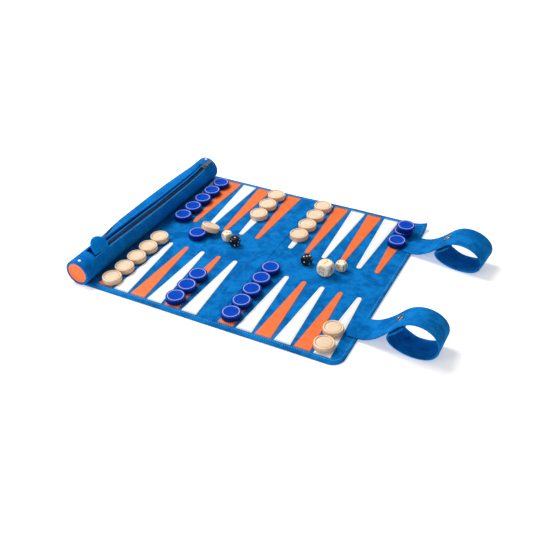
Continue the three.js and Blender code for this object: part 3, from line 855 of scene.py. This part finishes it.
def build_studs():
    """White dome studs: a quarter circle turned about the stud's axis."""
    for name, y, angle in (("near", -149.8, 10.0), ("far", 149.3, 5.0)):
        profile = np.concatenate([[[0, 0]], arc(0, 0, 1.0, 0, 90, 9) * [2.0, 1.15]])
        v, q, t = lathe_arrays(profile, 28)
        local = place(v + [0, 0, CASE_R + 0.05], turn_matrix("y", angle, (0, y, 0)))
        piece = new_object(f"stud_{name}", place(local, CASE), q, t)
        dress(piece, STUD_WHITE, nodes=[f"case_stud_{name}"])


def strip(name, sections):
    """Closed strip from matching cross-sections (rings, points round, 3)."""
    return new_object(name, *tube_arrays(sections))


def zip_half(name, y, tape, teeth_at, radius, node):
    """One side of the zip. tape and teeth_at give angles at each y; the tape is a thin strip between
    its two angles and the teeth are short rounded blocks at an even pitch along its free edge."""
    from_a, to_a = tape
    thick = 0.35
    ring = [case_point(radius[0], from_a, y), case_point(radius[1], to_a, y),
            case_point(radius[1] - thick, to_a, y), case_point(radius[0] - thick, from_a, y)]
    sections = np.stack(ring, 1)
    if to_a.mean() > from_a.mean():
        sections = sections[:, ::-1]
    dress(strip(f"{name}_tape", sections), TAPE, nodes=[node])
    step = 1.6
    spots = np.arange(y[0] + 1, y[-1] - 1, step)
    a0 = np.interp(spots, y, teeth_at[0])
    a1 = np.interp(spots, y, teeth_at[1])
    turn = np.linspace(0, 2 * np.pi, 6, endpoint=False)
    parts = []
    t = np.array([0.0, 0.08, 0.7, 1.0])
    w = np.array([0.35, 0.55, 0.55, 0.3])
    for s, p, q in zip(spots, a0, a1):
        angles = p + (q - p) * t
        body = case_point(radius[1] + 0.25 + w[:, None] * 0.9 * np.sin(turn), angles[:, None],
                          s + w[:, None] * np.cos(turn))
        parts.append(tube_arrays(body))
    dress(new_object(f"{name}_teeth", *joined(parts)), TEETH)


def build_zip():
    y = np.linspace(-98, 131.5, 90)
    _, front = window_edges(y)
    teeth_end = front - np.interp(y, [-98, 0, 131], [14, 13, 9])
    zip_half("zip_front", y, (front + 7, front - 2), (front - 0.5, teeth_end), (16.1, 16.8),
             "zip_side_front")
    welt = [case_point(r, front - 25 + a, y) for r, a in ((16.2, 0), (16.7, 1.2), (16.8, 7.4), (16.2, 9.5),
                                                          (15.2, 9.5), (15.2, 0))]
    dress(strip("zip_welt", np.stack(welt, 1)[:, ::-1]), BLUE_CASE)
    y = np.linspace(-118, 128, 100)
    back, _ = window_edges(y)
    zip_half("zip_back", y, (back - 8, back + 3), (back + 1, back + 10), (16.2, 17.2),
             "zip_side_back")
    # inner flap
    y = np.concatenate([np.linspace(-97, -60, 24), np.linspace(-57, 128, 60)])
    t = np.concatenate([np.linspace(0, 0.16, 12), np.linspace(0.2, 1, 16)])[:, None]
    back, front = window_edges(y)
    lead = np.interp(y, [-97, -86, -64, -21, 23.5, 99.5, 130.5], [1.5, 1.5, 4, 7.5, 14.5, 16.5, 14.5])
    low = np.interp(y, [-97, -90, -74, -58, -40, 128], [-3, -8, -24, -44, -62, -62])
    low = np.maximum(low, back - 12)
    angle = lead[None] + (low - lead)[None] * t
    welt = 0.5 * np.exp(-(((t - 0.05) / 0.04) ** 2)) - 0.3 * np.exp(-(((t - 0.12) / 0.02) ** 2))
    r = 16.7 + 0.9 * np.sin(np.pi * t) ** 0.8 + welt - 0.6 * np.exp(-((t / 0.02) ** 2)) + 0 * y
    yy = np.broadcast_to(y, angle.shape)
    outer, inner = case_point(r, angle, yy), case_point(r - 1.0, angle, yy)
    flap = shell("case_flap", outer, inner)
    run = np.linspace(-80, 108, 100)
    row = case_point(17.2, np.interp(run, y, lead) - 7.0, run)
    up = case_point(1.0, 8.0, 0.0) - case_point(0.0, 8.0, 0.0)
    dress(new_object("flap_stitching", *stitch_arrays(row, up, 3.0, 2.0, 0.26)), BRIGHT_THREAD)
    dress(flap, BLUE_CASE, nodes=["case_inner_flap"])


def build_tab():
    """Round grip tab: a disc trimmed off by its straight base, standing up and curling back as the square
    of the height; its near side leans back further, and its edge is rounded over half its thickness."""
    half, radius, middle = 12.5, 13.34, 6.35
    widest = math.degrees(math.acos(half / radius))
    turn = np.radians(np.concatenate([np.linspace(-widest, 50, 16), np.linspace(54, 89, 12)]))
    straight = np.linspace(0, middle + radius * math.sin(turn[0]), 3)[:2]
    rows = np.concatenate([straight, middle + radius * np.sin(turn)])
    width = np.concatenate([[half, half], radius * np.cos(turn)])
    c = np.sin(np.radians(np.linspace(-90, 90, 21)))
    along = width[:, None] * c[None]
    height = np.broadcast_to(rows[:, None], along.shape)
    from_edge = radius - np.hypot(along, np.maximum(height - middle, 0))
    plump = 1.0 * np.sqrt(np.clip(from_edge / 1.0, 0.02, 1))
    seam = 0.22 * np.exp(-(((from_edge - 2.2) / 0.5) ** 2))
    curl = -0.0191 * height ** 2
    lean = math.radians(-5.0) + 0.162 * along / half

    def face(offset):
        u, n = height, curl + offset
        x = TAB_BASE[0] + 0.03 * along + u * np.sin(lean) + n * np.cos(lean)
        z = TAB_BASE[2] - 0.13 * along + u * np.cos(lean) - n * np.sin(lean)
        return place(np.stack([x, TAB_BASE[1] + along, z], -1).reshape(-1, 3), CASE).reshape(*x.shape, 3)

    tab = shell("grip_tab", face(plump - seam), face(-plump + seam))
    # painted light: the tab takes the lighter copy of the blue suede
    dress(tab, BLUE_TAB_PAINTED_LIGHT, body=None, nodes=["case_tab"])
    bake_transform(tab)


# ---------------------------------------------------------------- straps
def strap_path(height, sewn, reach):
    """Side view of one strap: flat on the mat, up to the snap, over the crown, round the loop and
    back under the band. Returns the points, the crown's index, the snap's index and its slope."""
    z0 = 3.8
    crown = np.array([CROWN_X, height - 1.0])
    snap = np.array([43.0, 0.74 * height])
    slope = math.atan2(0.64 * height, 27)
    along = np.array([math.cos(slope), math.sin(slope)])
    across = np.array([along[1], -along[0]])
    path = [np.column_stack([np.linspace(-sewn, 0, 8), np.full(8, z0)])]
    path.append(bezier((0, z0), (18, z0), snap - 14 * along, snap, 40))
    n_snap = sum(len(p) for p in path) - 1
    path.append(bezier(snap, snap + 9 * along, crown - [9, 0], crown, 24))
    n_crown = sum(len(p) for p in path) - 1
    low = 1.3
    out = np.array([reach, 0.46 * height])
    turn = np.array([34.2, 0.39 * height])
    meet = snap + 5.0 * across
    flat = meet - 4.6 * along
    path.append(bezier(crown, crown + [15, 0], out + [0, 0.3 * height], out, 30))
    path.append(bezier(out, (reach, low + 0.14 * height), (reach - 10.5, low), (CROWN_X, low), 30))
    path.append(bezier((CROWN_X, low), (CROWN_X - 16.5, low), turn - [0, 8], turn, 30))
    path.append(bezier(turn, turn + [0, 3], flat - 3 * along, flat, 14))
    path.append(flat + (meet + 8 * along - flat) * np.linspace(0, 1, 8)[1:, None])
    return np.concatenate(path), n_crown, n_snap, snap, slope


def band_section(width, thick):
    """Cross-section of a strap as (across, out): a flat band with round edges."""
    h = thick / 2
    right = arc(width / 2 - h, 0, h, -90, 90, 9)
    left = arc(-width / 2 + h, 0, h, 90, 270, 9)
    top = np.column_stack([np.linspace(width / 2 - h, -width / 2 + h, 16)[1:-1], np.full(14, h)])
    bottom = np.column_stack([np.linspace(-width / 2 + h, width / 2 - h, 16)[1:-1], np.full(14, -h)])
    return np.concatenate([right, top, left, bottom])


def sweep_strap(name, path, width, twist, matrix, round_ends=(False, False)):
    """Carries the band's section along a side-view path: out is the path's left normal. The loop is
    sheared so that its height grows by twist from the middle to the far side, and its far edge is
    drawn in where it rests on the table."""
    before, after = np.roll(path, 1, 0), np.roll(path, -1, 0)
    before[0], after[-1] = path[0], path[-1]
    d = after - before
    d /= np.linalg.norm(d, axis=1)[:, None]
    normal = np.column_stack([-d[:, 1], d[:, 0]])
    section = band_section(width, STRAP_T)
    s, o = section[:, 0][None], section[:, 1][None]
    x = path[:, :1] + normal[:, :1] * o
    z = path[:, 1:] + normal[:, 1:] * o
    y = np.broadcast_to(s, x.shape)
    z = z * (1 + twist * y / (width / 2) * np.clip(z / 20, 0, 1))
    bottom = np.clip(1 - z / 16, 0, 1) * np.clip((x - 42) / 18, 0, 1)
    y = y - 5.0 * bottom * np.clip(y / (width / 2), 0, 1)
    rings = np.stack([x, y, z], -1)
    vertices, quads, fans = tube_arrays(rings)
    return new_object(name, place(vertices, matrix), quads, fans, sharp=60)


# half sections (r, z) of the snap's parts, z up from the band's top
SNAP_RING = np.concatenate([
    [[0, -2.4], [1.5, -2.4], [1.5, 0.05], [5.2, 0.05]],
    arc(4.3, 0.3, 1.25, -8, 172, 12) * [1, 0.95], [[2.9, 0.35], [0, 0.3]]])
# painted shade: a near-black disc in the ring's middle stands for the shade of its hole
SNAP_HOLE_SHADE = np.array([[0, 0.25], [3.0, 0.25], [2.95, 0.95], [2.5, 0.85], [1.8, 0.6], [0, 0.5]])
SNAP_SOCKET = np.array([[0, -2.9], [2.8, -2.9], [2.9, -3.9], [3.6, -4.0], [4.2, -3.6],
                        [4.2, -2.3], [3.6, -2.0], [0, -2.0]])
SNAP_STUD = np.array([[0, -8.0], [3.0, -7.95], [3.9, -7.6], [4.0, -7.2], [1.6, -7.1], [1.6, -5.0],
                      [3.8, -4.8], [3.6, -4.3], [2.3, -4.15], [2.1, -3.6], [2.2, -3.3],
                      [1.8, -3.0], [0, -2.98]])


def build_strap(side):
    s = STRAPS[side]
    matrix = turn_matrix("z", s["yaw"], (HINGE_X, s["y"], 0))
    path, n_crown, n_snap, snap, slope = strap_path(s["height"], s["sewn"], s["reach"])
    seam = n_snap + 15
    rise = sweep_strap(f"{side}_strap_rise", path[: seam + 1], s["width"], s["twist"], matrix)
    dress(rise, BLUE, body=None, nodes=[f"{side}_strap_end", f"{side}_strap_band"])
    to_world = lambda x, z: tuple(place(np.array([[x, 0, z]]), matrix)[0] * MM)
    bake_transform(rise)
    loop = sweep_strap(f"{side}_strap_loop", path[seam:], s["width"], s["twist"], matrix)
    dress(loop, BLUE, body=None, nodes=[f"{side}_strap_tail"])
    d = np.array([0.447, -0.894])
    start = path[seam] @ d + 0.3
    end = min(path[-1] @ d - 0.4, start + 6)
    across = path[n_crown] @ np.array([0.894, 0.447])
    at = lambda f: d * f + np.array([0.894, 0.447]) * across
    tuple(to_world(*at(start)))
    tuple(to_world(*at(end)))
    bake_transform(loop)
    above = (snap[0] - math.sin(slope), 0, snap[1] + math.cos(slope))
    m = matrix @ turn_matrix("y", -math.degrees(slope), above)
    for part, profile, segments, material, body, nodes in (
            ("ring", SNAP_RING, 48, NICKEL, "strap", ("cap",)),
            # the centre disc is painted shade of the ring's hole
            ("centre", SNAP_HOLE_SHADE, 32, HOLE_SHADE_METAL, "strap", ()),
            ("socket", SNAP_SOCKET, 40, NICKEL, "strap", ()),
            ("stud_turned", SNAP_STUD, 40, NICKEL, "tail", ("stud",))):
        v, q, t = lathe_arrays(profile, segments)
        dress(new_object(f"{side}_snap_{part}", place(v, m), q, t), material, f"{side}_{body}",
              [f"{side}_snap_{node}" for node in nodes])
    row = np.array([[-1.2, -s["width"] / 2 + 2, 4.8], [-1.2, s["width"] / 2 - 2, 4.8]])
    stitches = stitch_arrays(place(row, matrix), (0, 0, 1), 3.2, 2.2, 0.24)
    dress(new_object(f"{side}_strap_stitching", *stitches), BLUE_CASE)


# ---------------------------------------------------------------- playing pieces
def checker_profile(kind):
    """Half section (r, z) of a checker from axis to axis. Both kinds have rounded edges; the pale one
    has a sunk channel inside its raised rim, the blue one an inlaid ring."""
    r, t = CHECKER_R, CHECKER_T
    bottom = np.concatenate([[[0, 0.25], [9.0, 0.2], [9.6, 0.0]], arc(r - 1.5, 1.5, 1.5, -90, 0, 7)])
    if kind == "pale":
        top = np.concatenate([arc(r - 1.4, t - 1.4, 1.4, 0, 90, 8), [
            [10.8, t - 0.05], [10.4, t - 0.4], [10.1, t - 1.05], [9.75, t - 1.15], [9.4, t - 0.8],
            [8.9, t - 0.5], [8.2, t - 0.38], [6, t - 0.3], [3, t - 0.25], [0, t - 0.24]]])
    else:
        top = np.concatenate([arc(r - 1.2, t - 1.2, 1.2, 0, 90, 8), [
            [10.6, t], [10.45, t - 0.02], [10.4, t - 0.12], [10.0, t - 0.18], [9.6, t - 0.12],
            [9.55, t - 0.04], [9.3, t - 0.05], [8, t - 0.15], [6, t - 0.3], [3, t - 0.35],
            [0, t - 0.36]]])
    return np.concatenate([bottom, top])


LEAN_HEADING, LEAN_TILT = math.radians(63), math.radians(25.5)
LEANING = np.array(
    Matrix.Rotation(LEAN_TILT, 4, Vector((-math.sin(LEAN_HEADING), math.cos(LEAN_HEADING), 0)))
    @ Matrix.Translation((0, 0, -CHECKER_T / 2)))


def build_checkers():
    nodes = sorted(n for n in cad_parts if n.startswith("checker_"))
    for node in nodes:
        kind = "pale" if "pale" in node else "blue"
        low, high = (np.array(p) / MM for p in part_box(node))
        profile = checker_profile(kind)
        v, q, t = lathe_arrays(profile, 60)
        r = np.hypot(v[:, 0], v[:, 1])
        on_top = v[:, 2] > 6
        # painted shade mask for the sunk channel inside the pale rim
        groove_shade = np.exp(-(((r - 9.8) / 0.42) ** 2)) * on_top
        ring = ((r > 9.58) & (r < 10.42) & on_top).astype(float)
        wall = np.clip((r - 11.6) / 0.7, 0, 1) * np.clip((7.4 - v[:, 2]) / 0.8, 0, 1)
        spin = 37.0 * nodes.index(node)
        if node == "checker_pale_15":
            m = np.array(Matrix.Translation((low + high) / 2)) @ LEANING
        else:
            m = turn_matrix("z", spin, ((low[0] + high[0]) / 2, (low[1] + high[1]) / 2, low[2]))
        piece = new_object(node.replace("checker", "disc"), place(v, m), q, t,
                           masks={"groove_shade": groove_shade, "ring": ring, "wall": wall})
        if kind == "pale":
            dress(piece, WOOD, node, [node])
        else:
            dress(piece, LACQUER, node, [node])


PIPS = {
    1: [(0, 0)], 2: [(-1, -1), (1, 1)], 3: [(-1, -1), (0, 0), (1, 1)],
    4: [(-1, -1), (1, 1), (-1, 1), (1, -1)], 5: [(-1, -1), (1, 1), (-1, 1), (1, -1), (0, 0)],
    6: [(-1, -1), (1, 1), (-1, 1), (1, -1), (-1, 0), (1, 0)],
}
FACES = (((0, 0, 1), (1, 0, 0)), ((0, 0, -1), (1, 0, 0)), ((1, 0, 0), (0, 1, 0)),
         ((-1, 0, 0), (0, 1, 0)), ((0, 1, 0), (0, 0, 1)), ((0, -1, 0), (0, 0, 1)))


EDGE_SOFT = 0.25  # rounds the meeting of a die's faces with its ball


def die_arrays(size, values, n=44):
    """A cube trimmed by a ball: a cube's grid is pushed in to the ball where it lies outside it. Pips are
    shallow bowls, depth times 1 - (r / pip radius)^2."""
    half, ball = size / 2, size * 1.35 / 2
    g = np.sin(np.linspace(-np.pi / 2, np.pi / 2, n) * 0.999) * half
    parts, pips = [], []
    for (normal, side), value in zip(FACES, values):
        normal, side = np.array(normal, float), np.array(side, float)
        up = np.cross(normal, side)
        a, b = np.meshgrid(g, g, indexing="ij")
        p = normal * half + side * a[..., None] + up * b[..., None]
        length = np.linalg.norm(p, axis=-1, keepdims=True)
        over = length - ball
        p = p - p / length * (np.sqrt(over ** 2 + EDGE_SOFT ** 2) + over) / 2
        mask = np.zeros(a.shape)
        spread, pr = size * 0.235, size * 0.082
        for u, v in PIPS.get(value, ()):
            r = np.hypot(a - u * spread, b - v * spread)
            p = p - normal * (size * 0.03 * np.clip(1 - (r / pr) ** 2, 0, 1))[..., None]
            mask = np.maximum(mask, np.clip((pr - r) / (0.12 * pr) + 0.5, 0, 1))
        i, j = np.meshgrid(np.arange(n - 1), np.arange(n - 1), indexing="ij")
        q = np.stack([i * n + j, (i + 1) * n + j, (i + 1) * n + j + 1, i * n + j + 1], -1).reshape(-1, 4)
        parts.append((p.reshape(-1, 3), q, np.zeros((0, 3), int)))
        pips.append(mask.ravel())
    return (*joined(parts), np.concatenate(pips))


def weld(obj, distance=0.005):
    bm = bmesh.new()
    bm.from_mesh(obj.data)
    bmesh.ops.remove_doubles(bm, verts=bm.verts, dist=distance * MM)
    bmesh.ops.recalc_face_normals(bm, faces=bm.faces)
    bm.to_mesh(obj.data)
    bm.free()
    obj.data.polygons.foreach_set("use_smooth", np.ones(len(obj.data.polygons), bool))
    obj.data.set_sharp_from_angle(angle=math.radians(50))


DICE = {  # turn in degrees and the pips on +Z, -Z, +X, -X, +Y and -Y
    "die_pale_1": (-32, (3, 4, 1, 6, 5, 2)),
    "die_black_1": (-1, (1, 6, 3, 4, 5, 2)),
    "die_black_2": (-9, (3, 4, 2, 5, 6, 1)),
    "die_pale_2": (-17, (2, 5, 6, 1, 4, 3)),
}


def build_dice():
    for node, (turn, values) in DICE.items():
        low, high = (np.array(p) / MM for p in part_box(node))
        centre = (low + high) / 2
        v, q, t, pips = die_arrays(DIE_SIZE, values)
        m = turn_matrix("z", turn, centre)
        piece = new_object(node.replace("die", "dice"), place(v, m), q, t, masks={"pip": pips})
        weld(piece)
        pale = "pale" in node
        dress(piece, PALE_DIE if pale else BLACK_DIE, node, [node])


CUBE_TURN = -9


def build_doubling_cube():
    """The larger cube, with the six doubling numbers set flush in its faces."""
    low, high = (np.array(p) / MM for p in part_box("doubling_cube"))
    centre = (low + high) / 2
    size = CUBE_SIZE
    v, q, t, pips = die_arrays(size, (0,) * 6, 40)
    m = turn_matrix("z", CUBE_TURN, centre)
    piece = new_object("cube_body", place(v, m), q, t, masks={"pip": pips})
    weld(piece)
    dress(piece, PALE_DIE, "doubling_cube", ["doubling_cube"])
    numbers = (("2", 1), ("64", 0), ("8", 0), ("16", 0), ("4", 0), ("32", 2))
    for (normal, side), (text, ink) in zip(FACES, numbers):
        curve = bpy.data.curves.new("number_" + text, "FONT")
        curve.body = text
        curve.size = size * 0.62 * MM
        curve.align_x, curve.align_y = "CENTER", "CENTER"
        curve.extrude = 0.04 * MM
        holder = bpy.data.objects.new("number_" + text, curve)
        bpy.context.scene.collection.objects.link(holder)
        bpy.context.view_layer.update()
        shown = holder.evaluated_get(bpy.context.evaluated_depsgraph_get())
        mesh = bpy.data.meshes.new_from_object(shown)
        bpy.data.objects.remove(holder)
        normal, side = Vector(normal), Vector(side)
        up = normal.cross(side)
        basis = Matrix((side, up, normal)).transposed().to_4x4()
        basis.translation = normal * (size / 2 + 0.03) * MM
        world = Matrix(m.tolist())
        world.translation = world.translation * MM
        mesh.transform(world @ basis)
        number = bpy.data.objects.new("number_" + text, mesh)
        bpy.context.scene.collection.objects.link(number)
        dress(number, INKS[ink], "doubling_cube")


# ---------------------------------------------------------------- stage, light and camera
def build_stage():
    bpy.ops.mesh.primitive_plane_add(size=30)
    floor = bpy.context.object
    floor.name = "floor"
    floor.location.z = -0.0002
    white = blank("floor_white", Base_Color=(0.98, 0.955, 0.91, 1), Roughness=0.8,
                  Specular_IOR_Level=0.1, Emission_Color=(1, 1, 1, 1), Emission_Strength=0.36)[0]
    floor.data.materials.append(white)
    world = bpy.context.scene.world or bpy.data.worlds.new("studio")
    bpy.context.scene.world = world
    world.use_nodes = True
    sky = world.node_tree.nodes["Background"].inputs
    sky["Color"].default_value = (1, 1, 1, 1)
    sky["Strength"].default_value = 0.38

    def area(name, place_at, aim, size, power):
        light = bpy.data.lights.new(name, "AREA")
        light.shape = "DISK"
        light.size = size
        light.energy = power
        lamp = bpy.data.objects.new(name, light)
        bpy.context.scene.collection.objects.link(lamp)
        lamp.location = place_at
        lamp.rotation_euler = (Vector(aim) - Vector(place_at)).to_track_quat("-Z", "Y").to_euler()

    area("key", (-1.1, 0.35, 1.7), (0, 0, 0), 1.2, 38)
    area("fill", (-0.8, -1.5, 0.7), (0, 0, 0), 0.9, 8)
    bpy.context.scene.view_settings.view_transform = "Standard"


SENSOR, FOCAL, FRAME_WIDTH = 36, 788.05, 533


def build_camera():
    """Camera on a sphere about the aim point: azimuth from -Y towards +X, elevation, small roll."""
    azimuth, elevation, roll = (math.radians(a) for a in (27.744, 35.748, -1.191))
    aim = np.array([16.4, -24.6, 2.5])
    distance = 1024.7
    back = np.array([math.sin(azimuth) * math.cos(elevation),
                     -math.cos(azimuth) * math.cos(elevation), math.sin(elevation)])
    right = np.array([math.cos(azimuth), math.sin(azimuth), 0])
    up = np.cross(back, right)
    r2 = right * math.cos(roll) + up * math.sin(roll)
    u2 = -right * math.sin(roll) + up * math.cos(roll)
    data = bpy.data.cameras.new("camera")
    data.sensor_width = SENSOR
    data.lens = SENSOR * FOCAL / FRAME_WIDTH
    camera = bpy.data.objects.new("camera", data)
    bpy.context.scene.collection.objects.link(camera)
    m = Matrix.Identity(4)
    for row in range(3):
        m[row][0], m[row][1], m[row][2] = r2[row], u2[row], back[row]
        m[row][3] = (aim[row] + back[row] * distance) * MM
    camera.matrix_world = m
    bpy.context.scene.camera = camera


build_camera()
build_mat()
build_points()
build_bar()
build_case()
build_discs()
build_studs()
build_zip()
build_tab()
for strap_side in STRAPS:
    build_strap(strap_side)
build_checkers()
build_dice()
build_doubling_cube()
for node_name in ("zip_slider", "zip_pull"):
    node_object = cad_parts[node_name]
    node_object.data.materials.clear()
    node_object.data.materials.append(ZIP_METAL)
build_stage()
